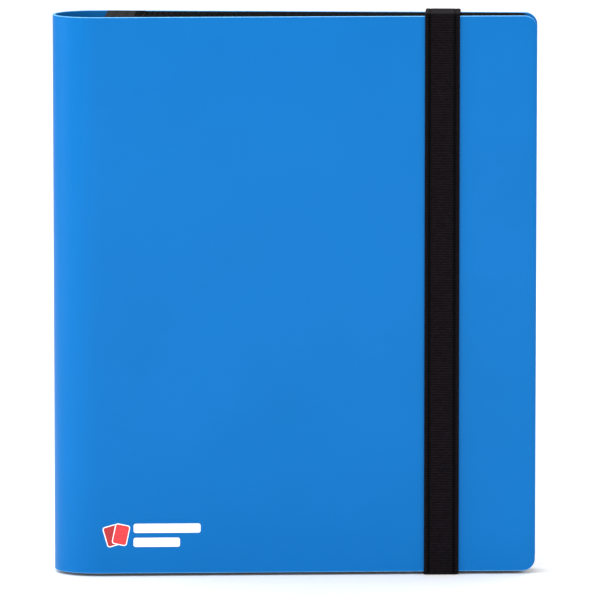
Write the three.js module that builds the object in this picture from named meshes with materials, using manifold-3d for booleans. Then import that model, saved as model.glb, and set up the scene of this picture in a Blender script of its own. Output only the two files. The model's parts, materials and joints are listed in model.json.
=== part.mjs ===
// A binder for trading cards, closed and standing on its lower edge. One flexible sheet makes the front cover, the
// rounded spine and the rear cover. It holds leaves with side-loading pockets, two across and two down, and an
// elastic strap keeps it shut.
// Millimetres. +X runs from the spine to the fore-edge, +Y from the front cover to the rear cover, and +Z is up.
// The plan is drawn from the rear cover's spine crease, and moved to the middle of the footprint at the end.

import * as THREE from 'three';
import { mergeVertices } from 'three/addons/utils/BufferGeometryUtils.js';
import Module from 'manifold-3d';

const wasm = await Module();
wasm.setup();

// Driving dimensions: the cover
const COVER_HEIGHT = 205;
const CLOSED_WIDTH = 176.5;
const SPINE_DEPTH = 24; // over both covers, where they meet the spine
const FORE_EDGE_DEPTH = 12; // over both covers, at the fore-edge
const SPINE_REACH = 17.6; // how far the rounded spine stands out from the flat covers
const COVER_SHEET = 1;
const COVER_CORNER = 4.6;
const SPINE_STRIPS = 6;
const CREASE_GAP = 0.3; // a strip or cover ends this far from its crease

// Driving dimensions: the leaves
const LEAF_COUNT = 10;
const LEAF_HEIGHT = 205;
const LEAF_START = 19.5; // from the outside of the spine to the bound edge
const LEAF_INSET = 2.2; // from the leaves' free edge to the covers' fore-edge
const LEAF_CORNER = 4;
const MARGIN_WIDTH = 10;
const BACKING = 0.25;
const FILM = 0.12;
const FILM_GAP = 0.1;
const FILM_INSET = 0.6;
const SLIT_WIDTH = 1;
const SLIT_HEIGHT = 92;
const SLIT_SETBACK = 3; // from the spine side of each pocket to its slit
const BINDING_STRIP_WIDTH = 14;
const BINDING_STRIP_THICKNESS = 1;

// Driving dimensions: the elastic strap
const STRAP_WIDTH = 12.7;
const STRAP_THICKNESS = 0.9;
const STRAP_FROM_FORE_EDGE = 34.4; // to the strap's middle
const TAIL_LENGTH = 18; // from a cover edge to the slit that its tail passes through
const TAIL_SLIT_PLAY = 0.35; // round the elastic in the slit, each way
const OVER_EDGE = 1.6; // how far the front run reaches over the cover edges
const END_BAR_LENGTH = 16.5;
const END_BAR_HEIGHT = 4;
const END_BAR_THICKNESS = 0.8;

const GAP = 0.3; // between pieces that rest on each other
const CORNER_STEPS = 5;
const CUTTER_DEPTH = 20; // more than any sheet is thick, with its offset

// Worked out from the driving dimensions
const coverWidth = CLOSED_WIDTH - SPINE_REACH;
const wedgeAngle = Math.atan((SPINE_DEPTH - FORE_EDGE_DEPTH) / coverWidth);
const coverBase = STRAP_THICKNESS + GAP;
const coverTop = coverBase + COVER_HEIGHT;
const coverMiddle = (coverBase + coverTop) / 2;
const halfSheet = COVER_SHEET / 2;
const rearCrease = new THREE.Vector2(0, 0);
const frontCrease = new THREE.Vector2(0, COVER_SHEET - SPINE_DEPTH);
const strapX = coverWidth - STRAP_FROM_FORE_EDGE;
const tailSlitWidth = STRAP_WIDTH + 2 * TAIL_SLIT_PLAY;
const tailSlitHeight = STRAP_THICKNESS + 2 * TAIL_SLIT_PLAY;

const satinBlue = new THREE.MeshStandardMaterial({ color: 0x1e80d6, roughness: 0.45, metalness: 0 });
const embossedBlack = new THREE.MeshStandardMaterial({ color: 0x141210, roughness: 0.6, metalness: 0 });
const wovenBlack = new THREE.MeshStandardMaterial({ color: 0x1a1614, roughness: 0.95, metalness: 0 });
const bareMetal = new THREE.MeshStandardMaterial({ color: 0xb8bcc0, roughness: 0.35, metalness: 1 });
const clearFilm = new THREE.MeshStandardMaterial({
  color: 0xf2f5f7,
  roughness: 0.12,
  metalness: 0,
  transparent: true,
  opacity: 0.25,
});

const binder = new THREE.Group();

function addPiece(parent, name, geometry, material) {
  const piece = new THREE.Mesh(geometry, material.clone());
  piece.name = name;
  parent.add(piece);
  return piece;
}

// A group whose origin is a crease in the plan, turned so that its +X runs along the sheet that starts there.
function sheetGroup(crease, heading) {
  const group = new THREE.Group();
  group.position.set(crease.x, crease.y, 0);
  group.rotation.z = heading;
  binder.add(group);
  return group;
}

// The outline of an upright sheet in x and z, with its two corners at the right rounded.
function sheetOutline(left, right, bottom, top, corner) {
  const outline = new THREE.Shape();
  outline.moveTo(left, bottom);
  outline.lineTo(right - corner, bottom);
  if (corner > 0) outline.absarc(right - corner, bottom + corner, corner, -Math.PI / 2, 0, false);
  outline.lineTo(right, top - corner);
  if (corner > 0) outline.absarc(right - corner, top - corner, corner, 0, Math.PI / 2, false);
  outline.lineTo(left, top);
  outline.closePath();
  return outline;
}

// An outline in x and z made into a sheet of the given thickness, half of it on each side of its plane.
function uprightSheet(outline, thickness, offset = 0) {
  const settings = { depth: thickness, bevelEnabled: false, curveSegments: CORNER_STEPS };
  const geometry = new THREE.ExtrudeGeometry(outline, settings);
  geometry.translate(0, 0, -thickness / 2);
  geometry.rotateX(Math.PI / 2);
  geometry.translate(0, offset, 0);
  return geometry;
}

function toSolid(geometry) {
  const bare = geometry.clone();
  bare.deleteAttribute('normal');
  bare.deleteAttribute('uv');
  const merged = mergeVertices(bare);
  const vertProperties = new Float32Array(merged.attributes.position.array);
  const triVerts = new Uint32Array(merged.index.array);
  return new wasm.Manifold(new wasm.Mesh({ numProp: 3, vertProperties, triVerts }));
}

function fromSolid(solid) {
  const mesh = solid.getMesh();
  const geometry = new THREE.BufferGeometry();
  geometry.setAttribute('position', new THREE.BufferAttribute(mesh.vertProperties, 3));
  geometry.setIndex(new THREE.BufferAttribute(mesh.triVerts, 1));
  geometry.computeVertexNormals();
  return geometry;
}

function joined(first, second) {
  return fromSolid(toSolid(first).add(toSolid(second)));
}

// Cuts an upright sheet right through, with a rectangular window centred on each x and z in the list.
function cutWindows(sheet, places, width, height) {
  let solid = toSolid(sheet);
  for (const [x, z] of places) {
    const window = new THREE.BoxGeometry(width, CUTTER_DEPTH, height).translate(x, 0, z);
    solid = solid.subtract(toSolid(window));
  }
  return fromSolid(solid);
}

// The curve of the spine in the plan, leaving the rear cover along its plane and meeting the front cover along its
// own. The handles' length gives the curve its reach.
function spineCurve() {
  const handle = ((SPINE_REACH - halfSheet) * 4) / 3;
  const frontWay = new THREE.Vector2(Math.cos(wedgeAngle), Math.sin(wedgeAngle));
  const rearHandle = new THREE.Vector2(rearCrease.x - handle, rearCrease.y);
  const frontHandle = frontCrease.clone().addScaledVector(frontWay, -handle);
  return new THREE.CubicBezierCurve(rearCrease, rearHandle, frontHandle, frontCrease);
}

function addRearCover() {
  const outline = sheetOutline(CREASE_GAP, coverWidth, coverBase, coverTop, COVER_CORNER);
  const slits = [coverBase + TAIL_LENGTH, coverTop - TAIL_LENGTH].map((z) => [strapX, z]);
  const geometry = cutWindows(uprightSheet(outline, COVER_SHEET), slits, tailSlitWidth, tailSlitHeight);
  addPiece(binder, 'rear_cover', geometry, satinBlue);
}

function addFrontCover() {
  const group = sheetGroup(frontCrease, wedgeAngle);
  const length = coverWidth / Math.cos(wedgeAngle);
  const outline = sheetOutline(CREASE_GAP, length, coverBase, coverTop, COVER_CORNER);
  addPiece(group, 'front_cover', uprightSheet(outline, COVER_SHEET), satinBlue);
}

// The living flex of the spine, as flat strips with a crease between each two.
function addSpine() {
  const creases = spineCurve().getSpacedPoints(SPINE_STRIPS);
  for (let i = 0; i < SPINE_STRIPS; i += 1) {
    const run = creases[i + 1].clone().sub(creases[i]);
    const group = sheetGroup(creases[i], run.angle());
    const outline = sheetOutline(CREASE_GAP, run.length() - CREASE_GAP, coverBase, coverTop, 0);
    addPiece(group, `spine_strip_${i + 1}`, uprightSheet(outline, COVER_SHEET), satinBlue);
  }
}

// Leaves

const bindingStart = LEAF_START - SPINE_REACH;
const leafWidth = coverWidth - LEAF_INSET - bindingStart;
const leafBase = coverMiddle - LEAF_HEIGHT / 2;
const leafTop = coverMiddle + LEAF_HEIGHT / 2;
const bindingSpace = 2 * GAP + BINDING_STRIP_THICKNESS;
const endBarSpace = 2 * GAP + END_BAR_THICKNESS;
const rootPitch = (SPINE_DEPTH - 2 * COVER_SHEET - bindingSpace - GAP) / LEAF_COUNT;
const freePitch = (FORE_EDGE_DEPTH - 2 * COVER_SHEET - endBarSpace - GAP) / LEAF_COUNT;
const marginThickness = rootPitch - GAP;

function addBindingStrip() {
  const right = bindingStart + BINDING_STRIP_WIDTH;
  const outline = sheetOutline(bindingStart, right, leafBase, leafTop, 0);
  const offset = -halfSheet - GAP - BINDING_STRIP_THICKNESS / 2;
  addPiece(binder, 'binding_strip', uprightSheet(outline, BINDING_STRIP_THICKNESS, offset), embossedBlack);
}

function backingGeometry() {
  const sheet = sheetOutline(MARGIN_WIDTH / 2, leafWidth, leafBase, leafTop, LEAF_CORNER);
  const margin = sheetOutline(0, MARGIN_WIDTH, leafBase, leafTop, 0);
  return joined(uprightSheet(sheet, BACKING), uprightSheet(margin, marginThickness));
}

// A clear film over two by two pockets, with a slit along the spine side of each pocket.
function filmGeometry(side) {
  const left = MARGIN_WIDTH + FILM_INSET;
  const right = leafWidth - FILM_INSET;
  const bottom = leafBase + FILM_INSET;
  const top = leafTop - FILM_INSET;
  const outline = sheetOutline(left, right, bottom, top, LEAF_CORNER - FILM_INSET);
  const pocketWidth = (right - left) / 2;
  const pocketHeight = (top - bottom) / 2;
  const slits = [];
  for (const column of [0, 1]) {
    for (const row of [0.5, 1.5]) {
      slits.push([left + column * pocketWidth + SLIT_SETBACK, bottom + row * pocketHeight]);
    }
  }
  const film = uprightSheet(outline, FILM, side * (BACKING / 2 + FILM_GAP + FILM / 2));
  return cutWindows(film, slits, SLIT_WIDTH, SLIT_HEIGHT);
}

// Leaf 1 is next to the front cover. The margins are stacked closely at the bound edge, and the leaves lie closer
// still at the free edge, so each one is turned a little more than the one behind it.
function addLeaves() {
  for (let number = 1; number <= LEAF_COUNT; number += 1) {
    const place = LEAF_COUNT + 0.5 - number;
    const rootY = -halfSheet - bindingSpace - place * rootPitch;
    const freeY = -halfSheet - endBarSpace - place * freePitch;
    const tilt = Math.asin((freeY - rootY) / leafWidth);
    const group = sheetGroup(new THREE.Vector2(bindingStart, rootY), tilt);
    const name = `leaf_${String(number).padStart(2, '0')}`;
    addPiece(group, `${name}_backing`, backingGeometry(), embossedBlack);
    addPiece(group, `${name}_front_film`, filmGeometry(-1), clearFilm);
    addPiece(group, `${name}_rear_film`, filmGeometry(1), clearFilm);
  }
}

// The strap. Each ribbon is drawn in y and z, and is as wide as the elastic.

function ribbon(points) {
  const outline = new THREE.Shape(points.map(([y, z]) => new THREE.Vector2(y, z)));
  const geometry = new THREE.ExtrudeGeometry(outline, { depth: STRAP_WIDTH, bevelEnabled: false });
  geometry.translate(0, 0, -STRAP_WIDTH / 2);
  geometry.rotateX(Math.PI / 2);
  geometry.rotateZ(Math.PI / 2);
  return geometry;
}

// The front cover's outer face at the strap, in the plan.
const frontFaceY = frontCrease.y + strapX * Math.tan(wedgeAngle) - halfSheet / Math.cos(wedgeAngle);

function addFrontRun() {
  const group = sheetGroup(new THREE.Vector2(strapX, frontFaceY), wedgeAngle);
  const outer = -GAP - STRAP_THICKNESS;
  const outline = [
    [outer, 0],
    [OVER_EDGE, 0],
    [OVER_EDGE, STRAP_THICKNESS],
    [-GAP, STRAP_THICKNESS],
    [-GAP, coverTop + GAP],
    [OVER_EDGE, coverTop + GAP],
    [OVER_EDGE, coverTop + GAP + STRAP_THICKNESS],
    [outer, coverTop + GAP + STRAP_THICKNESS],
  ];
  addPiece(group, 'strap_front_run', ribbon(outline), wovenBlack);
}

// A tail of the strap: from the front run over the covers' edge, along the rear cover, and in through its slit.
// It is drawn for the lower edge, and turned over for the upper one.
function addTail(name, upper) {
  const height = (z) => (upper ? 2 * coverMiddle - z : z);
  const seamY = frontFaceY + OVER_EDGE + GAP + (STRAP_WIDTH / 2) * Math.tan(wedgeAngle);
  const near = halfSheet + GAP;
  const far = near + STRAP_THICKNESS;
  const insideY = -halfSheet - GAP - END_BAR_THICKNESS;
  const slitLow = coverBase + TAIL_LENGTH - STRAP_THICKNESS / 2;
  const slitHigh = slitLow + STRAP_THICKNESS;
  const outline = [
    [seamY, height(0)],
    [far, height(0)],
    [far, height(slitHigh)],
    [insideY, height(slitHigh)],
    [insideY, height(slitLow)],
    [near, height(slitLow)],
    [near, height(STRAP_THICKNESS)],
    [seamY, height(STRAP_THICKNESS)],
  ];
  if (upper) outline.reverse();
  const tail = addPiece(binder, name, ribbon(outline), wovenBlack);
  tail.position.x = strapX;
}

// The crimped bar that stops a tail inside the rear cover, with the tail's end in its slot.
function addEndBar(name, z) {
  const halfHeight = END_BAR_HEIGHT / 2;
  const left = strapX - END_BAR_LENGTH / 2;
  const outline = sheetOutline(left, left + END_BAR_LENGTH, z - halfHeight, z + halfHeight, 0);
  const bar = uprightSheet(outline, END_BAR_THICKNESS, -halfSheet - GAP - END_BAR_THICKNESS / 2);
  addPiece(binder, name, cutWindows(bar, [[strapX, z]], tailSlitWidth, tailSlitHeight), bareMetal);
}

addRearCover();
addSpine();
addFrontCover();
addBindingStrip();
addLeaves();
addFrontRun();
addTail('strap_tail_bottom', false);
addTail('strap_tail_top', true);
addEndBar('strap_end_bar_bottom', coverBase + TAIL_LENGTH);
addEndBar('strap_end_bar_top', coverTop - TAIL_LENGTH);

// The origin is the middle of the footprint, at the height of the strap's underside.
const footprint = new THREE.Box3().setFromObject(binder);
const middle = footprint.getCenter(new THREE.Vector3());
binder.position.set(-middle.x, -middle.y, -footprint.min.z);

export default binder;
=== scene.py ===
import json
import math

import bmesh
import bpy
from mathutils import Matrix, Vector


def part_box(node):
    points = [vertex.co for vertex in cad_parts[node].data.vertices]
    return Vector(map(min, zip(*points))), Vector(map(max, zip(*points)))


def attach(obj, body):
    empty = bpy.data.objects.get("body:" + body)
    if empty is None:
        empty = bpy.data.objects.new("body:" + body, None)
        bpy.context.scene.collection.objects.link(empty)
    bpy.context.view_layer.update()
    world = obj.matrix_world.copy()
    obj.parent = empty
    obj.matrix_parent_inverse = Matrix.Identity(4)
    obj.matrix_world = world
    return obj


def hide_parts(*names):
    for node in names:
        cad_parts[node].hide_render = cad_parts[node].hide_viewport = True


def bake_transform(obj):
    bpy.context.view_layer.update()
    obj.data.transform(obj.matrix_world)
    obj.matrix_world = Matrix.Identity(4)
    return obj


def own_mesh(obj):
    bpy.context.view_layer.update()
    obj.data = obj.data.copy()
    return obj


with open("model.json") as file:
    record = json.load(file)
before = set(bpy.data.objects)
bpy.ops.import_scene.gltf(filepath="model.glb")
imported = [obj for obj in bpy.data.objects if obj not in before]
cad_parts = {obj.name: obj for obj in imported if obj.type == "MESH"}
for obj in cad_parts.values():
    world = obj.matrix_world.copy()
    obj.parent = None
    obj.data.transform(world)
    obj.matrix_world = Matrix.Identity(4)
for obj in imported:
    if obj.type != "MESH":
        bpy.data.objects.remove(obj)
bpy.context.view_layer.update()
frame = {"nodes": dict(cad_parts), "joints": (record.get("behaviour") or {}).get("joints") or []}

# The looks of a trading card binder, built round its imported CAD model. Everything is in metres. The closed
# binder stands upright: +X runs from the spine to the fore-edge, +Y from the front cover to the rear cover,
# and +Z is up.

MM = 0.001

# Places and sizes from the frame
JOINTS = {joint["name"]: joint for joint in frame["joints"]}
REAR_LOW, REAR_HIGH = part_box("rear_cover")
FRONT_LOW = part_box("front_cover")[0]
TAIL_LOW, TAIL_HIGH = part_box("strap_tail_bottom")
BAR_LOW, BAR_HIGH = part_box("strap_end_bar_bottom")
MARGIN_LOW, MARGIN_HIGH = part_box("binding_strip")
HALF_SHEET = (REAR_HIGH.y - REAR_LOW.y) / 2
COVER_BASE, COVER_TOP = REAR_LOW.z, REAR_HIGH.z
LEAF_BASE, LEAF_TOP = MARGIN_LOW.z, MARGIN_HIGH.z
MIDDLE_Z = (COVER_BASE + COVER_TOP) / 2
WEDGE = math.radians(JOINTS["cover_opening"]["range_deg"][1] - 180)
REAR_CREASE = Vector(JOINTS["spine_crease_1"]["pos_m"]).to_2d()
FRONT_CREASE = Vector((REAR_CREASE.x, FRONT_LOW.y + HALF_SHEET * math.cos(WEDGE)))
PANEL_WIDTH = REAR_HIGH.x - REAR_CREASE.x
SPINE_FOLDS = sum(1 for name in JOINTS if name.startswith("spine_crease"))
LEAF_COUNT = sum(1 for name in JOINTS if name.startswith("leaf"))

# The cover sheet
CORNER = 4.6 * MM
CORNER_RINGS = 10
CUT_BEVEL = 0.16 * MM
BEVEL_LIMIT = 0.7  # of half the sheet's thickness
BEVEL_STEPS = 3
RING_STEP = 0.35 * MM
SPINE_STEPS = 600
STRAP_SLIT_HEIGHT = 1.6 * MM
STRAP_SLIT_CLEARANCE = 0.7 * MM  # how much longer the slit is than the strap is wide

# The leaves. Lengths along a leaf start at its bound edge.
LEAF_CORNER = 4 * MM
LEAF_CORNER_STEPS = 6
MARGIN_WIDTH = 10 * MM
MARGIN_HALF = 0.85 * MM
MARGIN_STEPS = 40
PRESSED_LINES = (0.35 * MARGIN_WIDTH, 0.75 * MARGIN_WIDTH)
PRESSED_DEPTH = 0.22 * MM
PRESSED_REACH = 0.8 * MM
BACKING_HALF = 0.1 * MM
EMBOSS_PITCH = 2 * MM
EMBOSS_BOUND, EMBOSS_FREE = 0.4 * MM, 0.1 * MM  # its depth beside the margin and at the free edge
FILM_HALF = 0.05 * MM
FILM_CLEARANCE = 0.085 * MM
FILM_INSET = 0.6 * MM
FILM_CORNER = 1.2 * MM  # the square left off the film at each of the leaf's rounded corners
FILM_GRID = 9 * MM
RIPPLE = 0.012 * MM
RIPPLE_TURNS = (71, 53)  # radians per metre, across and up
RIPPLE_PHASE = 5.6
WELD_WIDTH = 1.4 * MM
WELD_DEPTH = 0.035 * MM
WELD_RIDGE_PITCH = 0.5 * MM
SLIT_WIDTH = 1 * MM
SLIT_SETBACK = 3 * MM
SLIT_HEIGHT = 92 * MM

# The elastic
STRAP_WIDTH = TAIL_HIGH.x - TAIL_LOW.x
STRAP_MIDDLE = (TAIL_LOW.x + TAIL_HIGH.x) / 2
ELASTIC_HALF = 0.44 * MM
ELASTIC_STANDOFF = 0.75 * MM
ELASTIC_BEND = 0.95 * MM
BEND_STEPS = 16
RIB_PITCH = 0.6 * MM
RIB_DEPTH = 0.075 * MM
RIB_SAMPLES = 4
ROUNDED_EDGE = 0.45 * MM
EDGE_SHARE = 0.35  # how much of the thickness is left at the very edge
SELVEDGE = 1.75 * MM
SELVEDGE_GROOVE = 0.12 * MM
GROOVE_REACH = 0.22 * MM
# How far to each side of a selvedge groove the painted shade reaches.
SELVEDGE_SHADE_REACH = 0.9 * MM
WARP_PITCH = 0.45 * MM
OVER_EDGE = 1.75 * MM  # how far the front run reaches over the cover's edges
TAIL_TWIST = 6 * MM  # how far past the seam a tail turns from the front cover's slope to the rear's
TAIL_STOP = 0.1 * MM  # how far a tail's end reaches into its bar

# The printed mark. Places are (across, up) from the lower end of the front crease.
PLATE_CORNER_STEPS = 6
PRINT_SINK = 0.01 * MM  # how deep in the sheet the print starts
CARD_BORDER = (5.6 * MM, 7.8 * MM, 1 * MM)  # width, height, corner radius
CARD = (4.9 * MM, 7.1 * MM, 0.7 * MM)
CARD_LIFT = 0.02 * MM
LONG_BAR = (24.5 * MM, 3.4 * MM, 0.8 * MM)
SHORT_BAR = (17 * MM, 3.4 * MM, 0.8 * MM)
BAR_LIFT = 0.03 * MM

# The camera and the lights
CAMERA_DISTANCE = 3
CAMERA_RISE = math.radians(8.6)
CAMERA_TURN = math.radians(2.2)
FRAME_WIDTH = 218.6 * MM
SENSOR_WIDTH = 36  # millimetres, as the camera takes it
AIM = Vector((2.3 * MM, FRONT_LOW.y, 103 * MM))
CENTRE = Vector((0, 0, MIDDLE_Z))
LIGHTS = (  # name, place, width and height, watts, aim, seen in gloss
    ("left", (-1.6, -0.35, 0.5), (0.9, 1.4), 23, CENTRE, False),
    ("key", (-0.6, -2.2, 2.4), (2.4, 1.6), 34, Vector((0, -0.3, 0)), True),
    ("low", (0.3, -1.6, 0.1), (2.4, 0.5), 20, CENTRE, False),
    ("top", (0, 0.6, 3), (6, 6), 150, CENTRE, True),
)
WORLD_STRENGTH = 0.5
FLOOR_SIZE = 12

# ---------------------------------------------------------------------------------------- mesh tools


def mesh_object(name, points, faces, materials, face_materials=None, sharp_angle=40):
    """A smooth-shaded mesh piece, with edges sharper than sharp_angle kept crisp."""
    mesh = bpy.data.meshes.new(name)
    mesh.from_pydata([tuple(point) for point in points], [], faces)
    for material in materials:
        mesh.materials.append(material)
    if face_materials:
        mesh.polygons.foreach_set("material_index", face_materials)
    mesh.update()
    tidy = bmesh.new()
    tidy.from_mesh(mesh)
    bmesh.ops.recalc_face_normals(tidy, faces=tidy.faces)
    tidy.to_mesh(mesh)
    tidy.free()
    mesh.shade_smooth()
    mesh.set_sharp_from_angle(angle=math.radians(sharp_angle))
    piece = bpy.data.objects.new(name, mesh)
    bpy.context.scene.collection.objects.link(piece)
    return piece


def loft(name, rings, materials, edge_sides=(), edge_rings=0, sharp_angle=40):
    """A closed solid through rings of equally many points, with a cap on each end. Sides of the ring listed
    in edge_sides, and every side of the last edge_rings rings, take the second material."""
    count = len(rings[0])
    points = [point for ring in rings for point in ring]
    faces, kinds = [], []
    for i in range(len(rings) - 1):
        for j in range(count):
            k = (j + 1) % count
            faces.append((i * count + j, i * count + k, (i + 1) * count + k, (i + 1) * count + j))
            kinds.append(1 if j in edge_sides or i >= len(rings) - 1 - edge_rings else 0)
    faces.append(tuple(range(count)))
    kinds.append(1 if edge_sides else 0)
    faces.append(tuple(range((len(rings) - 1) * count, len(rings) * count)))
    kinds.append(1 if edge_sides else 0)
    face_materials = kinds if len(materials) > 1 else None
    return mesh_object(name, points, faces, materials, face_materials, sharp_angle)


def smooth_step(value):
    """From 0 to 1 with level ends, as value goes from 0 to 1."""
    value = min(max(value, 0), 1)
    return value * value * (3 - 2 * value)


def nearest_line(value, lines):
    """The distance from a value to the nearest of some lines."""
    return min(abs(value - line) for line in lines)


def beside(lines, distances):
    """Marks at the given distances to either side of each line."""
    return [line + sign * distance for line in lines for distance in distances for sign in (-1, 1)]


# ------------------------------------------------------------------------------------ material tools


def new_material(name):
    """A Principled material. Returns it with its node tree, its shader and object-space coordinates."""
    material = bpy.data.materials.new(name)
    material.use_nodes = True
    tree = material.node_tree
    shader = tree.nodes["Principled BSDF"]
    coordinates = tree.nodes.new("ShaderNodeTexCoord").outputs["Object"]
    return material, tree, shader, coordinates


def noise(tree, coordinates, scale, detail=2.0, stretch=None):
    """Noise with the given number of features per metre, stretched along an axis if asked."""
    if stretch:
        mapping = tree.nodes.new("ShaderNodeMapping")
        mapping.inputs["Scale"].default_value = stretch
        tree.links.new(coordinates, mapping.inputs["Vector"])
        coordinates = mapping.outputs["Vector"]
    texture = tree.nodes.new("ShaderNodeTexNoise")
    texture.inputs["Scale"].default_value = scale
    texture.inputs["Detail"].default_value = detail
    tree.links.new(coordinates, texture.inputs["Vector"])
    return texture.outputs["Fac"]


def wave(tree, coordinates, direction, pitch, turn=None, profile="SIN"):
    """Straight bands of the given pitch across an axis, after a turn of the coordinates."""
    if turn:
        mapping = tree.nodes.new("ShaderNodeMapping")
        mapping.inputs["Rotation"].default_value = turn
        tree.links.new(coordinates, mapping.inputs["Vector"])
        coordinates = mapping.outputs["Vector"]
    texture = tree.nodes.new("ShaderNodeTexWave")
    texture.bands_direction = direction
    texture.wave_profile = profile
    # At scale 1 the texture repeats every 2 pi / 20 metres.
    texture.inputs["Scale"].default_value = 2 * math.pi / (20 * pitch)
    tree.links.new(coordinates, texture.inputs["Vector"])
    return texture.outputs["Fac"]


def ramp(tree, value, low, high, start=0.0, end=1.0):
    """A colour that goes from low to high as value goes from start to end."""
    node = tree.nodes.new("ShaderNodeValToRGB")
    node.color_ramp.elements[0].position = start
    node.color_ramp.elements[0].color = (*low, 1)
    node.color_ramp.elements[1].position = end
    node.color_ramp.elements[1].color = (*high, 1)
    tree.links.new(value, node.inputs["Fac"])
    return node.outputs["Color"]


def spread(tree, value, low, high):
    """A number that goes from low to high as value goes from 0 to 1."""
    node = tree.nodes.new("ShaderNodeMapRange")
    node.inputs["To Min"].default_value = low
    node.inputs["To Max"].default_value = high
    tree.links.new(value, node.inputs["Value"])
    return node.outputs["Result"]


def colour(tree, shader, value, low, high, start=0.0, end=1.0):
    """Takes the shader's colour from low to high as value goes from start to end."""
    tree.links.new(ramp(tree, value, low, high, start, end), shader.inputs["Base Color"])


def roughness(tree, shader, value, low, high):
    """Takes the shader's roughness from low to high as value goes from 0 to 1."""
    tree.links.new(spread(tree, value, low, high), shader.inputs["Roughness"])


def arithmetic(tree, operation, first, second=None):
    """One step of arithmetic. Each input is a number or another node's output."""
    node = tree.nodes.new("ShaderNodeMath")
    node.operation = operation
    for socket, value in zip(node.inputs, (first, second)):
        if isinstance(value, bpy.types.NodeSocket):
            tree.links.new(value, socket)
        elif value is not None:
            socket.default_value = value
    return node.outputs[0]


def along(tree, coordinates, axis):
    """One coordinate of a place."""
    node = tree.nodes.new("ShaderNodeSeparateXYZ")
    tree.links.new(coordinates, node.inputs[0])
    return node.outputs[axis]


def bump(tree, shader, heights):
    """Chains (height, strength, distance) bumps into the shader's normal."""
    normal = None
    for height, strength, distance in heights:
        node = tree.nodes.new("ShaderNodeBump")
        node.inputs["Strength"].default_value = strength
        node.inputs["Distance"].default_value = distance
        tree.links.new(height, node.inputs["Height"])
        if normal:
            tree.links.new(normal, node.inputs["Normal"])
        normal = node.outputs["Normal"]
    tree.links.new(normal, shader.inputs["Normal"])


# ----------------------------------------------------------------------------------------- materials


def satin_sheet():
    """Blue polypropylene with a fine moulded grain, a soft satin gloss and faint clouding."""
    material, tree, shader, place = new_material("satin_blue_sheet")
    clouding = noise(tree, place, 22, 3)
    colour(tree, shader, clouding, (0.0003, 0.120, 0.374), (0.0006, 0.127, 0.397), 0.3, 0.7)
    roughness(tree, shader, noise(tree, place, 900, 2), 0.36, 0.46)
    waviness = noise(tree, place, 26, 1)
    grain = noise(tree, place, 3200, 2)
    bump(tree, shader, [(waviness, 0.5, 0.35 * MM), (grain, 0.35, 0.02 * MM)])
    shader.inputs["IOR"].default_value = 1.49
    shader.inputs["Specular IOR Level"].default_value = 0.13
    return material


def cut_edge():
    """The sheet's cut edge, where the light that runs through the plastic comes out paler."""
    material, tree, shader, place = new_material("pale_blue_cut_edge")
    streaks = noise(tree, place, 500, 2, stretch=(1, 1, 0.2))
    colour(tree, shader, streaks, (0.085, 0.390, 0.860), (0.150, 0.500, 0.930), 0.3, 0.7)
    roughness(tree, shader, streaks, 0.3, 0.5)
    bump(tree, shader, [(noise(tree, place, 1500, 2), 0.25, 0.02 * MM)])
    return material


def embossed_black():
    """Black polypropylene rolled with a fine mesh of small diamonds, a little warm in the light, with
    painted highlights on the raised points.
    """
    material, tree, shader, place = new_material("embossed_black_sheet")
    slant = math.radians(45)
    rising = wave(tree, place, "X", EMBOSS_PITCH / 2, (0, slant, 0), "TRI")
    falling = wave(tree, place, "Z", EMBOSS_PITCH / 2, (0, slant, 0), "TRI")
    mesh = arithmetic(tree, "MAXIMUM", rising, falling)
    forward = wave(tree, place, "X", EMBOSS_PITCH / math.sqrt(2), (0, 0, slant), "TRI")
    backward = wave(tree, place, "X", EMBOSS_PITCH / math.sqrt(2), (0, 0, -slant), "TRI")
    # Painted highlight: the raised points of the diamond mesh are coloured lighter, standing in for light
    # caught on them.
    raised_highlight = arithmetic(tree, "MULTIPLY", mesh, arithmetic(tree, "MAXIMUM", forward, backward))
    colour(tree, shader, raised_highlight, (0.002, 0.0018, 0.002), (0.030, 0.026, 0.027), 0.45, 1)
    roughness(tree, shader, noise(tree, place, 700, 2), 0.6, 0.8)
    bump(tree, shader, [(mesh, 0.8, 0.12 * MM), (noise(tree, place, 2500, 2), 0.3, 0.02 * MM)])
    shader.inputs["Specular IOR Level"].default_value = 0.08
    return material


def clear_film():
    """Clear pocket film: glossy, with a faint haze and small ripples."""
    material, tree, shader, place = new_material("clear_pocket_film")
    haze = noise(tree, place, 60, 3)
    colour(tree, shader, haze, (0.93, 0.95, 0.97), (1, 1, 1))
    roughness(tree, shader, haze, 0.03, 0.1)
    ripples = noise(tree, place, 38, 2, stretch=(1, 1, 0.35))
    bump(tree, shader, [(ripples, 0.4, 0.25 * MM)])
    shader.inputs["Transmission Weight"].default_value = 1
    shader.inputs["IOR"].default_value = 1.45
    return material


def welded_film():
    """Film melted on to the sheet behind it by a patterned tool: hazy, with small closely spaced ridges."""
    material, tree, shader, place = new_material("welded_pocket_film")
    across = wave(tree, place, "X", WELD_RIDGE_PITCH)
    upwards = wave(tree, place, "Z", WELD_RIDGE_PITCH)
    ridges = arithmetic(tree, "ADD", across, upwards)
    colour(tree, shader, ridges, (0.16, 0.165, 0.17), (0.30, 0.305, 0.31), 0.2, 1)
    roughness(tree, shader, noise(tree, place, 900, 2), 0.4, 0.6)
    bump(tree, shader, [(ridges, 0.5, 0.05 * MM)])
    shader.inputs["Transmission Weight"].default_value = 0.75
    shader.inputs["IOR"].default_value = 1.45
    return material


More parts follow.
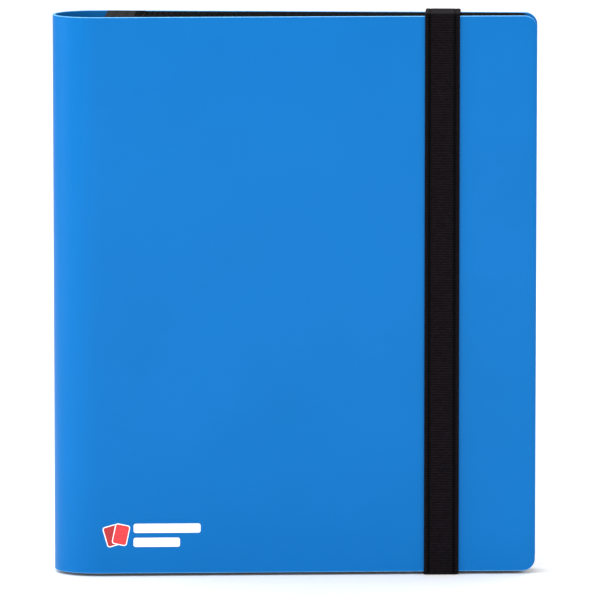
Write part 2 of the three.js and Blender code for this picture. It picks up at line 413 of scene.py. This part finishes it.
def woven_elastic():
    """Black covered elastic: a rib for each weft yarn, short strands lying along it, and painted shade down
    each side, in the groove where the selvedge begins."""
    material, tree, shader, place = new_material("black_woven_elastic")
    ribs = wave(tree, place, "Z", RIB_PITCH)
    strands = noise(tree, place, 1500, 3, stretch=(0.5, 1, 1.6))
    woven = arithmetic(tree, "MULTIPLY", ribs, strands)
    # Painted shade: the yarn colour is darkened to black along each selvedge groove and fades out within a
    # short reach.
    offset = arithmetic(tree, "SUBTRACT", along(tree, place, "X"), STRAP_MIDDLE)
    from_middle = arithmetic(tree, "ABSOLUTE", offset)
    past_line = arithmetic(tree, "SUBTRACT", from_middle, STRAP_WIDTH / 2 - SELVEDGE)
    from_line = arithmetic(tree, "ABSOLUTE", past_line)
    share = arithmetic(tree, "DIVIDE", from_line, SELVEDGE_SHADE_REACH)
    groove_shade = arithmetic(tree, "MINIMUM", share, 1.0)
    yarn = ramp(tree, woven, (0.0004, 0.0003, 0.0004), (0.0120, 0.0088, 0.0118), 0.08, 0.60)
    shade = tree.nodes.new("ShaderNodeVectorMath")
    shade.operation = "MULTIPLY"
    tree.links.new(yarn, shade.inputs[0])
    tree.links.new(groove_shade, shade.inputs[1])
    tree.links.new(shade.outputs[0], shader.inputs["Base Color"])
    roughness(tree, shader, strands, 0.75, 0.95)
    warp = wave(tree, place, "X", WARP_PITCH)
    bump(tree, shader, [(warp, 0.4, 0.05 * MM), (strands, 0.6, 0.06 * MM)])
    shader.inputs["Specular IOR Level"].default_value = 0.05
    shader.inputs["Sheen Weight"].default_value = 0.02
    return material


def crimped_steel():
    """Plain plated steel, brushed along the bar."""
    material, tree, shader, place = new_material("crimped_steel")
    brushing = noise(tree, place, 2400, 3, stretch=(0.05, 1, 1))
    colour(tree, shader, brushing, (0.50, 0.51, 0.53), (0.68, 0.69, 0.71), 0.3, 0.7)
    roughness(tree, shader, brushing, 0.22, 0.42)
    bump(tree, shader, [(brushing, 0.3, 0.02 * MM)])
    shader.inputs["Metallic"].default_value = 1
    return material


def printed_ink(name, low, high):
    """Screen-printed ink, slightly uneven and a little glossier than the sheet."""
    material, tree, shader, place = new_material(name)
    colour(tree, shader, noise(tree, place, 1400, 3), low, high, 0.3, 0.7)
    roughness(tree, shader, noise(tree, place, 800, 2), 0.3, 0.42)
    bump(tree, shader, [(noise(tree, place, 3000, 2), 0.2, 0.01 * MM)])
    return material


def pale_floor():
    """A plain, matt, very pale floor."""
    material, tree, shader, place = new_material("pale_floor")
    colour(tree, shader, noise(tree, place, 3, 2), (0.86, 0.86, 0.86), (0.90, 0.90, 0.90))
    shader.inputs["Roughness"].default_value = 0.8
    return material


BLUE, CUT, BLACK = satin_sheet(), cut_edge(), embossed_black()
FILM, WELD, ELASTIC, STEEL = clear_film(), welded_film(), woven_elastic(), crimped_steel()
RED_INK = printed_ink("red_ink", (0.55, 0.020, 0.026), (0.66, 0.03, 0.038))
DARK_RED_INK = printed_ink("dark_red_ink", (0.34, 0.008, 0.012), (0.42, 0.012, 0.018))
WHITE_INK = printed_ink("white_ink", (0.82, 0.83, 0.84), (0.92, 0.93, 0.94))

# ----------------------------------------------------------------------------------------- the cover


def spine_table():
    """Points along the spine's curve in the plan, with the length travelled to each. The curve leaves the
    rear cover along its plane, passes through the middle crease and meets the front cover along its own."""
    middle = Vector(JOINTS[f"spine_crease_{SPINE_FOLDS // 2 + 1}"]["pos_m"]).to_2d()
    # Half way along the curve, each of its two handles moves it by three eighths of the handle's length.
    handle = (REAR_CREASE.x - middle.x) / (3 / 8 * (1 + math.cos(WEDGE)))
    front_way = Vector((math.cos(WEDGE), math.sin(WEDGE)))
    rear_handle = REAR_CREASE - Vector((handle, 0))
    corners = (REAR_CREASE, rear_handle, FRONT_CREASE - handle * front_way, FRONT_CREASE)
    table, length, last = [], 0.0, REAR_CREASE
    for i in range(SPINE_STEPS + 1):
        t = i / SPINE_STEPS
        weights = ((1 - t) ** 3, 3 * t * (1 - t) ** 2, 3 * t * t * (1 - t), t**3)
        point = sum((w * c for w, c in zip(weights, corners)), Vector((0, 0)))
        length += (point - last).length
        table.append((length, point))
        last = point
    return table


SPINE = spine_table()
SPINE_LENGTH = SPINE[-1][0]
FOLD_LENGTH = SPINE_LENGTH / SPINE_FOLDS
FRONT_LENGTH = PANEL_WIDTH / math.cos(WEDGE)


def sheet_place(run):
    """The cover sheet's middle and its outward normal in the plan, run metres past the rear crease."""
    if run <= 0:
        return Vector((REAR_CREASE.x - run, REAR_CREASE.y)), Vector((0, 1))
    if run >= SPINE_LENGTH:
        way = Vector((math.cos(WEDGE), math.sin(WEDGE)))
        return FRONT_CREASE + (run - SPINE_LENGTH) * way, Vector((way.y, -way.x))
    index = next(i for i, (length, _) in enumerate(SPINE) if length >= run)
    (start, a), (end, b) = SPINE[index - 1], SPINE[index]
    before = SPINE[max(index - 2, 0)][1]
    after = SPINE[min(index + 1, len(SPINE) - 1)][1]
    way = (after - before).normalized()
    return a.lerp(b, (run - start) / (end - start)), Vector((way.y, -way.x))


def cut_outline(half, low, high):
    """The sheet's cross-section, as (distance from the middle, height), with small rounded arrises."""
    bevel = min(CUT_BEVEL, half * BEVEL_LIMIT)
    outline = []
    for side, top, first in ((1, 0, -90), (1, 1, 0), (-1, 1, 90), (-1, 0, 180)):
        centre_out = side * (half - bevel)
        centre_up = high - bevel if top else low + bevel
        for step in range(BEVEL_STEPS + 1):
            angle = math.radians(first + 90 * step / BEVEL_STEPS)
            out = centre_out + bevel * math.cos(angle)
            height = centre_up + bevel * math.sin(angle)
            outline.append((out, height))
    return outline


# The sides of the outline that lie on the sheet's cut edges: all but the two long faces.
LONG_SIDES = (BEVEL_STEPS, 3 * BEVEL_STEPS + 2)
EDGE_SIDES = tuple(side for side in range(4 * (BEVEL_STEPS + 1)) if side not in LONG_SIDES)


def sheet_ring(run, inset=0.0, half=HALF_SHEET):
    """The sheet's cross-section run metres past the rear crease, cut short by inset at its top and foot."""
    centre, normal = sheet_place(run)
    ring = []
    for out, height in cut_outline(half, COVER_BASE + inset, COVER_TOP - inset):
        spot = centre + out * normal
        ring.append((spot.x, spot.y, height))
    return ring


def corner_rings(end, way):
    """Rings that round a panel off at its fore-edge. way is 1 where the run grows towards it, or -1. The
    last two take the fore-edge's own arris off."""
    rings = []
    for step in range(CORNER_RINGS):
        angle = math.pi / 2 * step / CORNER_RINGS
        run = end - way * CORNER * (1 - math.sin(angle))
        rings.append(sheet_ring(run, CORNER * (1 - math.cos(angle))))
    setback = CUT_BEVEL / 3
    rings.append(sheet_ring(end - way * setback, CORNER * (1 - math.sqrt(2 * setback / CORNER))))
    rings.append(sheet_ring(end, CORNER, HALF_SHEET - CUT_BEVEL))
    return rings


def cut_slits(panel):
    """Cuts the two slits that the strap's tails pass through."""
    middle = Vector(((BAR_LOW.x + BAR_HIGH.x) / 2, REAR_CREASE.y, (BAR_LOW.z + BAR_HIGH.z) / 2))
    for z in (middle.z, 2 * MIDDLE_Z - middle.z):
        bpy.ops.mesh.primitive_cube_add(size=1, location=(middle.x, middle.y, z))
        cutter = bpy.context.object
        cutter.scale = (STRAP_WIDTH + STRAP_SLIT_CLEARANCE, 6 * HALF_SHEET, STRAP_SLIT_HEIGHT)
        bpy.context.view_layer.update()
        modifier = panel.modifiers.new("slit", "BOOLEAN")
        modifier.object = cutter
        modifier.solver = "EXACT"
        evaluated = panel.evaluated_get(bpy.context.evaluated_depsgraph_get())
        panel.data = bpy.data.meshes.new_from_object(evaluated)
        panel.modifiers.clear()
        bpy.data.objects.remove(cutter)
    panel.data.set_sharp_from_angle(angle=math.radians(40))


def finish_cover_piece(node):
    """Hides the CAD node that a piece of the cover stands in for."""
    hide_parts(node)


def rear_panel():
    """The rear cover, with its two slits."""
    rings = [sheet_ring(-FOLD_LENGTH / 2)] + corner_rings(-PANEL_WIDTH, -1)
    panel = loft("rear_cover_panel", rings, [BLUE, CUT], EDGE_SIDES, 2)
    cut_slits(panel)
    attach(panel, "rear_case")
    finish_cover_piece("rear_cover")


def front_panel():
    """The front cover."""
    rings = [sheet_ring(SPINE_LENGTH)] + corner_rings(SPINE_LENGTH + FRONT_LENGTH, 1)
    panel = loft("front_cover_panel", rings, [BLUE, CUT], EDGE_SIDES, 2)
    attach(panel, "front_case")
    finish_cover_piece("front_cover")


def spine_pieces():
    """The flexing spine. Each piece runs from the middle of one strip to the middle of the next, and curves
    over the crease between them. The last one ends at the front panel."""
    for fold in range(SPINE_FOLDS + 1):
        start = (fold - 0.5) * FOLD_LENGTH
        end = min(start + FOLD_LENGTH, SPINE_LENGTH)
        steps = math.ceil((end - start) / RING_STEP)
        rings = [sheet_ring(start + (end - start) * i / steps) for i in range(steps + 1)]
        piece = loft(f"spine_flex_{fold + 1}", rings, [BLUE, CUT], EDGE_SIDES)
        if fold < SPINE_FOLDS:
            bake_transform(piece)
        else:
            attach(piece, f"spine_fold_{fold}")
        finish_cover_piece(f"spine_strip_{min(fold + 1, SPINE_FOLDS)}")


# ---------------------------------------------------------------------------------------- the leaves


def leaf_frame(name):
    """A matrix from a leaf's own frame (x from its bound edge, y through it, z up) to the binder's."""
    pivot = Vector(JOINTS[f"{name}_turn"]["pos_m"])
    low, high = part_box(f"{name}_front_film")
    rise = high.y - low.y - 2 * FILM_HALF
    tilt = math.asin(max(rise, 0) / (high.x - low.x))
    return Matrix.Translation((pivot.x, pivot.y, 0)) @ Matrix.Rotation(tilt, 4, "Z")


LEAF_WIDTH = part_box(f"leaf_{LEAF_COUNT:02d}_backing")[1].x - MARGIN_LOW.x


def leaf_ring(place, x, half, offset=0.0, inset=0.0):
    """A leaf's upright cross-section at x, moved through the leaf by offset and cut short by inset at its
    top and foot."""
    low, high = LEAF_BASE + inset, LEAF_TOP - inset
    corners = ((1, low), (1, high), (-1, high), (-1, low))
    return [place @ Vector((x, offset + side * half, z)) for side, z in corners]


def emboss_depth(x):
    """The rows stand high where the leaves are held apart, and are pressed flat towards the free edge."""
    share = min(max((x - MARGIN_WIDTH) / (LEAF_WIDTH - MARGIN_WIDTH), 0), 1)
    return EMBOSS_BOUND + (EMBOSS_FREE - EMBOSS_BOUND) * share


def backing_sheet(name, place):
    """A thick welded margin with two pressed lines, then the thin sheet, folded into rows by its emboss."""
    rings = []
    for step in range(MARGIN_STEPS + 1):
        x = MARGIN_WIDTH * step / MARGIN_STEPS
        pressed = 1 - smooth_step(nearest_line(x, PRESSED_LINES) / PRESSED_REACH)
        half = MARGIN_HALF - PRESSED_DEPTH * pressed
        rings.append(leaf_ring(place, x, half))
    rows = int((LEAF_WIDTH - LEAF_CORNER - MARGIN_WIDTH) / (EMBOSS_PITCH / 2))
    for row in range(1, rows + 1):
        x = MARGIN_WIDTH + row * EMBOSS_PITCH / 2
        offset = emboss_depth(x) if row % 2 else -emboss_depth(x)
        rings.append(leaf_ring(place, x, BACKING_HALF, offset))
    for step in range(1, LEAF_CORNER_STEPS + 1):
        angle = math.pi / 2 * step / LEAF_CORNER_STEPS
        x = LEAF_WIDTH - LEAF_CORNER * (1 - math.sin(angle))
        rings.append(leaf_ring(place, x, BACKING_HALF, 0, LEAF_CORNER * (1 - math.cos(angle))))
    piece = loft(f"{name}_embossed_sheet", rings, [BLACK], sharp_angle=20)
    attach(piece, name)
    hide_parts(f"{name}_backing")


def grid_lines(low, high, step, marks):
    """Evenly spaced lines from low to high, with extra ones at the marks."""
    count = math.ceil((high - low) / step)
    lines = {round(low + (high - low) * i / count, 7) for i in range(count + 1)}
    lines |= {round(mark, 7) for mark in marks}
    return sorted(lines)


def shell(name, xs, zs, height, open_cell, other_cell, place, materials):
    """A closed film on a grid, walled all round. Cells are left out wherever open_cell says so, and take
    the second material wherever other_cell does."""
    across, up = len(xs), len(zs)
    points = []
    for side in (1, -1):
        for x in xs:
            for z in zs:
                points.append(place @ Vector((x, height(x, z) + side * FILM_HALF, z)))

    def corner(side, i, j):
        return side * across * up + i * up + j

    filled = {
        (i, j)
        for i in range(across - 1)
        for j in range(up - 1)
        if not open_cell((xs[i] + xs[i + 1]) / 2, (zs[j] + zs[j + 1]) / 2)
    }
    faces, kinds = [], []
    for i, j in sorted(filled):
        kind = int(other_cell((xs[i] + xs[i + 1]) / 2, (zs[j] + zs[j + 1]) / 2))
        square = ((i, j), (i + 1, j), (i + 1, j + 1), (i, j + 1))
        faces.append(tuple(corner(0, *spot) for spot in square))
        faces.append(tuple(corner(1, *spot) for spot in reversed(square)))
        neighbours = ((i, j - 1), (i + 1, j), (i, j + 1), (i - 1, j))
        for edge, neighbour in enumerate(neighbours):
            if neighbour not in filled:
                a, b = square[edge], square[(edge + 1) % 4]
                faces.append((corner(0, *a), corner(1, *a), corner(1, *b), corner(0, *b)))
        kinds += [kind] * (len(faces) - len(kinds))
    piece = mesh_object(name, points, faces, materials, kinds, sharp_angle=30)
    clean = bmesh.new()
    clean.from_mesh(piece.data)
    unused = [vertex for vertex in clean.verts if not vertex.link_faces]
    bmesh.ops.delete(clean, geom=unused, context="VERTS")
    clean.to_mesh(piece.data)
    clean.free()
    return piece


def pocket_film(name, side, place):
    """One clear film: two by two pockets, pressed flat along the welds, each with a slit to fill it by."""
    left, right = MARGIN_WIDTH + FILM_INSET, LEAF_WIDTH - FILM_INSET
    low, high = LEAF_BASE + FILM_INSET, LEAF_TOP - FILM_INSET
    middle_x, middle_z = (left + right) / 2, (low + high) / 2
    welds_x, welds_z = (left, middle_x, right), (low, middle_z, high)
    slits_x = [start + SLIT_SETBACK for start in (left, middle_x)]
    rows_z = [(low + middle_z) / 2, (middle_z + high) / 2]

    def to_weld(x, z):
        return min(nearest_line(x, welds_x), nearest_line(z, welds_z))

    def in_weld(x, z):
        return to_weld(x, z) < WELD_WIDTH / 2

    def height(x, z):
        pressed = 1 - smooth_step((to_weld(x, z) - WELD_WIDTH / 2) / WELD_WIDTH)
        ripple = math.sin(RIPPLE_TURNS[0] * x + RIPPLE_PHASE) * math.sin(RIPPLE_TURNS[1] * z + side)
        offset = emboss_depth(x) + BACKING_HALF + FILM_CLEARANCE
        return side * (offset - WELD_DEPTH * pressed + RIPPLE * ripple)

    def left_open(x, z):
        near_slit = nearest_line(x, slits_x) < SLIT_WIDTH / 2
        near_row = nearest_line(z, rows_z) < SLIT_HEIGHT / 2
        in_corner = x > right - FILM_CORNER and not low + FILM_CORNER < z < high - FILM_CORNER
        return (near_slit and near_row) or in_corner

    weld_marks = (WELD_WIDTH / 2, 1.5 * WELD_WIDTH)
    marks_x = beside(welds_x, weld_marks) + beside(slits_x, (SLIT_WIDTH / 2,)) + [right - FILM_CORNER]
    marks_z = beside(welds_z, weld_marks) + beside(rows_z, (SLIT_HEIGHT / 2,))
    marks_z += [low + FILM_CORNER, high - FILM_CORNER]
    xs = [x for x in grid_lines(left, right, FILM_GRID, marks_x) if left <= x <= right]
    zs = [z for z in grid_lines(low, high, FILM_GRID, marks_z) if low <= z <= high]
    face = "front" if side < 0 else "rear"
    piece = shell(f"{name}_{face}_pockets", xs, zs, height, left_open, in_weld, place, [FILM, WELD])
    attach(piece, name)
    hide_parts(f"{name}_{face}_film")


def leaves():
    """Every leaf: a backing sheet with a film of pockets on each side."""
    for number in range(1, LEAF_COUNT + 1):
        name = f"leaf_{number:02d}"
        place = leaf_frame(name)
        backing_sheet(name, place)
        pocket_film(name, -1, place)
        pocket_film(name, 1, place)


# ----------------------------------------------------------------------------------------- the strap


def rounded_path(corners):
    """Even points along straight stretches joined by arcs, all in one plane, a few for each of the ribs."""
    dense = [Vector(corners[0])]
    for before, corner, after in zip(corners, corners[1:], corners[2:]):
        before, corner, after = Vector(before), Vector(corner), Vector(after)
        back, on = (before - corner).normalized(), (after - corner).normalized()
        centre = corner + ELASTIC_BEND * (back + on)
        for i in range(BEND_STEPS + 1):
            angle = math.pi / 2 * i / BEND_STEPS
            dense.append(centre - ELASTIC_BEND * (on * math.cos(angle) + back * math.sin(angle)))
    dense.append(Vector(corners[-1]))
    lengths = [0.0]
    for a, b in zip(dense, dense[1:]):
        lengths.append(lengths[-1] + (b - a).length)
    count = math.ceil(lengths[-1] / (RIB_PITCH / RIB_SAMPLES))
    path, index = [], 0
    for i in range(count + 1):
        run = lengths[-1] * i / count
        while index < len(dense) - 2 and lengths[index + 1] < run:
            index += 1
        share = (run - lengths[index]) / max(lengths[index + 1] - lengths[index], 1e-9)
        path.append(dense[index].lerp(dense[index + 1], min(share, 1)))
    return path


def elastic_section():
    """Places across the elastic, each with half its thickness there: thinner at the two selvedge lines."""
    selvedge = SELVEDGE / MM
    places = [0, 0.18, 0.45, 0.9, selvedge - 0.35, selvedge, selvedge + 0.35, 3.2, 4.8]
    from_edge = [place * MM for place in places]
    half_width = STRAP_WIDTH / 2
    left = [-half_width + x for x in from_edge]
    across = left + [0.0] + [-u for u in reversed(left)]
    section = []
    for u in across:
        inward = half_width - abs(u)
        edge = math.sqrt(min(1, max(inward, 0.02 * MM) / ROUNDED_EDGE))
        groove = SELVEDGE_GROOVE * math.exp(-((inward - SELVEDGE) / GROOVE_REACH) ** 2)
        share = EDGE_SHARE + (1 - EDGE_SHARE) * edge
        section.append((u, ELASTIC_HALF * share - groove))
    return section


def elastic(name, corners, place, skew=None):
    """Woven elastic laid along corners in y and z, with a rib for each weft yarn. skew says how much its
    cross-section leans at a spot."""
    path = rounded_path(corners)
    section = elastic_section()
    rings, run = [], 0.0
    for i, spot in enumerate(path):
        way = (path[min(i + 1, len(path) - 1)] - path[max(i - 1, 0)]).normalized()
        normal = Vector((way.y, -way.x))
        run += (spot - path[i - 1]).length if i else 0
        rib = RIB_DEPTH * (0.5 + 0.5 * math.cos(2 * math.pi * run / RIB_PITCH))
        lean = skew(spot) if skew else 0.0
        ring = []
        for side in (1, -1):
            for u, half in section if side > 0 else reversed(section):
                point = spot + side * (half - rib) * normal
                ring.append(place @ Vector((u, point.x + u * lean, point.y)))
        rings.append(ring)
    piece = loft(name, rings, [ELASTIC], sharp_angle=60)
    return piece


def strap():
    """The front run, which swings to the back as the binder opens, and the two tails on the rear cover."""
    behind_crease = (STRAP_MIDDLE - FRONT_CREASE.x) * math.tan(WEDGE)
    face_y = FRONT_CREASE.y + behind_crease - HALF_SHEET / math.cos(WEDGE)
    low, high = ELASTIC_HALF, COVER_TOP + ELASTIC_STANDOFF
    run_place = Matrix.Translation((STRAP_MIDDLE, face_y, 0)) @ Matrix.Rotation(WEDGE, 4, "Z")
    out = -ELASTIC_STANDOFF
    corners = [(OVER_EDGE, low), (out, low), (out, high), (OVER_EDGE, high)]
    front = elastic("elastic_front_run", corners, run_place)
    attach(front, "strap")
    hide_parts("strap_front_run")

    seam_y = face_y + OVER_EDGE / math.cos(WEDGE)
    rear_y = REAR_HIGH.y + ELASTIC_STANDOFF
    inside_y = BAR_LOW.y + TAIL_STOP
    bar_z = (BAR_LOW.z + BAR_HIGH.z) / 2
    tail_place = Matrix.Translation((STRAP_MIDDLE, 0, 0))

    def skew(spot):
        return math.tan(WEDGE) * (1 - smooth_step((spot.x - seam_y) / TAIL_TWIST))

    for end, edge_z, slit_z in (("bottom", low, bar_z), ("top", high, 2 * MIDDLE_Z - bar_z)):
        corners = [(seam_y, edge_z), (rear_y, edge_z), (rear_y, slit_z), (inside_y, slit_z)]
        tail = elastic(f"elastic_tail_{end}", corners, tail_place, skew)
        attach(tail, "rear_case")
        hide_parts(f"strap_tail_{end}")
        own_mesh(tail)


# ------------------------------------------------------------------------------------------ the mark


def rounded_plate(name, size, lift, place, material):
    """A thin printed shape with rounded corners, in its own plane: x across, z up, y into the sheet."""
    width, height, corner = size
    outline = []
    for sx, sz, first in ((1, 1, 0), (-1, 1, 90), (-1, -1, 180), (1, -1, 270)):
        for step in range(PLATE_CORNER_STEPS + 1):
            angle = math.radians(first + 90 * step / PLATE_CORNER_STEPS)
            x = sx * (width / 2 - corner) + corner * math.cos(angle)
            outline.append((x, sz * (height / 2 - corner) + corner * math.sin(angle)))
    rings = [[place @ Vector((x, -depth, z)) for x, z in outline] for depth in (0, lift)]
    piece = loft(name, rings, [material])
    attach(piece, "front_case")
    return piece


def printed_mark():
    """A plain generic mark, low on the front cover near the spine: two red cards and two white bars."""
    cover = Matrix.Translation((*FRONT_CREASE, COVER_BASE)) @ Matrix.Rotation(WEDGE, 4, "Z")
    face = cover @ Matrix.Translation((0, -HALF_SHEET + PRINT_SINK, 0))

    def spot(x, z, tilt=0.0):
        tilted = Matrix.Rotation(math.radians(tilt), 4, "Y")
        return face @ Matrix.Translation((x * MM, 0, z * MM)) @ tilted

    rear_card = ("rear", spot(4.2, 14, -16), 0.02 * MM, DARK_RED_INK)
    front_card = ("front", spot(7.4, 14.4, 12), 0.06 * MM, RED_INK)
    for name, place, lift, ink in (rear_card, front_card):
        rounded_plate(f"mark_{name}_border", CARD_BORDER, lift, place, WHITE_INK)
        rounded_plate(f"mark_{name}_card", CARD, lift + CARD_LIFT, place, ink)
    rounded_plate("mark_long_bar", LONG_BAR, BAR_LIFT, spot(24.3, 16.7), WHITE_INK)
    rounded_plate("mark_short_bar", SHORT_BAR, BAR_LIFT, spot(20.5, 11.5), WHITE_INK)


def carried_over_nodes():
    """CAD nodes whose shape is already right, given their finished material."""
    for node, material in (
        ("binding_strip", BLACK),
        ("strap_end_bar_top", STEEL),
        ("strap_end_bar_bottom", STEEL),
    ):
        piece = frame["nodes"][node]
        piece.data.materials.clear()
        piece.data.materials.append(material)


# ------------------------------------------------------------------------------ floor, light, camera


def area_light(name, place, size, power, aim, seen_in_gloss):
    """A rectangular soft light, turned towards its aim."""
    light = bpy.data.lights.new(name, "AREA")
    light.shape = "RECTANGLE"
    light.size, light.size_y = size
    light.energy = power
    lamp = bpy.data.objects.new(name, light)
    lamp.location = place
    lamp.visible_glossy = seen_in_gloss
    lamp.rotation_euler = (aim - Vector(place)).to_track_quat("-Z", "Y").to_euler()
    bpy.context.scene.collection.objects.link(lamp)


def studio():
    """A pale floor, four soft lights and a white surrounding."""
    bpy.ops.mesh.primitive_plane_add(size=FLOOR_SIZE, location=(0, 0, 0))
    floor = bpy.context.object
    floor.name = "studio_floor"
    floor.data.materials.append(pale_floor())
    for light in LIGHTS:
        area_light(*light)
    world = bpy.data.worlds.new("studio")
    world.use_nodes = True
    background = world.node_tree.nodes["Background"]
    background.inputs["Color"].default_value = (1, 1, 1, 1)
    background.inputs["Strength"].default_value = WORLD_STRENGTH
    bpy.context.scene.world = world
    bpy.context.scene.view_settings.view_transform = "Standard"


def camera():
    """A long lens, a little above the binder and a little to the fore-edge's side."""
    lens = bpy.data.cameras.new("camera")
    lens.sensor_width = SENSOR_WIDTH
    lens.lens = SENSOR_WIDTH * CAMERA_DISTANCE / FRAME_WIDTH
    eye = bpy.data.objects.new("camera", lens)
    eye.rotation_euler = (math.pi / 2 - CAMERA_RISE, 0, CAMERA_TURN)
    eye.location = AIM + CAMERA_DISTANCE * (eye.rotation_euler.to_matrix() @ Vector((0, 0, 1)))
    bpy.context.scene.collection.objects.link(eye)
    bpy.context.scene.camera = eye


camera()
rear_panel()
front_panel()
spine_pieces()
leaves()
strap()
printed_mark()
carried_over_nodes()
studio()
